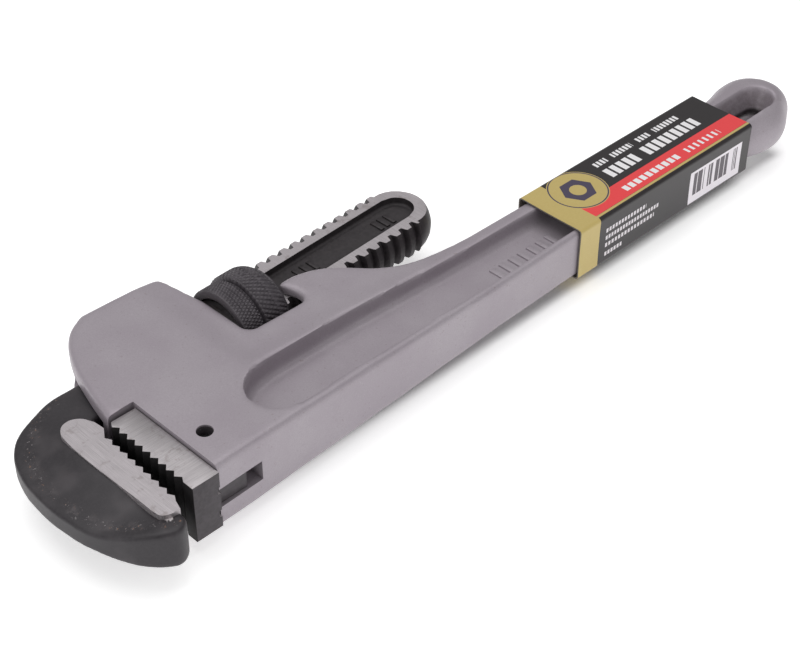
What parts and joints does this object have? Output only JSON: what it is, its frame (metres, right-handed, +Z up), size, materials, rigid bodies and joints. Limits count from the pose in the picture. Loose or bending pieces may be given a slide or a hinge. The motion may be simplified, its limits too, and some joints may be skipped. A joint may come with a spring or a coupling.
{
  "type": "pipe wrench",
  "caption": "Adjustable pipe wrench with a grey cast handle, black hook jaw, knurled nut and printed card sleeve, lying on its side with the jaws closed.",
  "frame": {"origin": "bottom centre of the wrench's bounding box, lying on its side with the jaws closed", "axes": "+X from the hook jaw towards the hanging eye, +Y from the back of the handle towards the threaded shank, +Z up through the thickness"},
  "size_m": [0.324, 0.0888, 0.03],
  "materials": {
    "grey_paint": "satin grey paint on a cast surface",
    "ground_steel": "ground",
    "black_forging": "satin black paint on a forged surface",
    "black_nut": "black oxide, knurled",
    "spring_steel": "bright",
    "printed_card": "semi-gloss printed card"
  },
  "bodies": {
    "base": {"handle": "grey_paint", "heel_jaw": "ground_steel", "heel_jaw_pin": "spring_steel", "flat_spring_pin": "spring_steel", "coil_spring": "spring_steel"},
    "rocker": {"flat_spring": "spring_steel"},
    "hook": {"hook_jaw": "black_forging"},
    "nut": {"adjusting_nut": "black_nut"},
    "sleeve": {"card_sleeve": "printed_card"}
  },
  "joints": [
    {"name": "jaw_rock", "type": "hinge", "parent": "base", "child": "rocker", "pos_m": [-0.06667, 0.02026, 0.015], "axis": [0, 0, -1], "range_deg": [0, 2.5], "stiffness_Nm_per_rad": 4},
    {"name": "jaw_slide", "type": "slide", "parent": "rocker", "child": "hook", "axis": [-0.9994, -0.0332, 0], "range_m": [-0.001, 0.057]},
    {"name": "nut_spin", "type": "hinge", "parent": "rocker", "child": "nut", "pos_m": [-0.06667, 0.02026, 0.015], "axis": [0.9994, 0.0332, 0], "range_deg": [-75, 4045]},
    {"name": "sleeve_slide", "type": "slide", "parent": "base", "child": "sleeve", "axis": [-0.9996, -0.0271, 0], "range_m": [0, 0.02]}
  ],
  "couplings": [
    {"joint": "nut_spin", "follows": "jaw_slide", "rad_per_m": 1236.8}
  ]
}
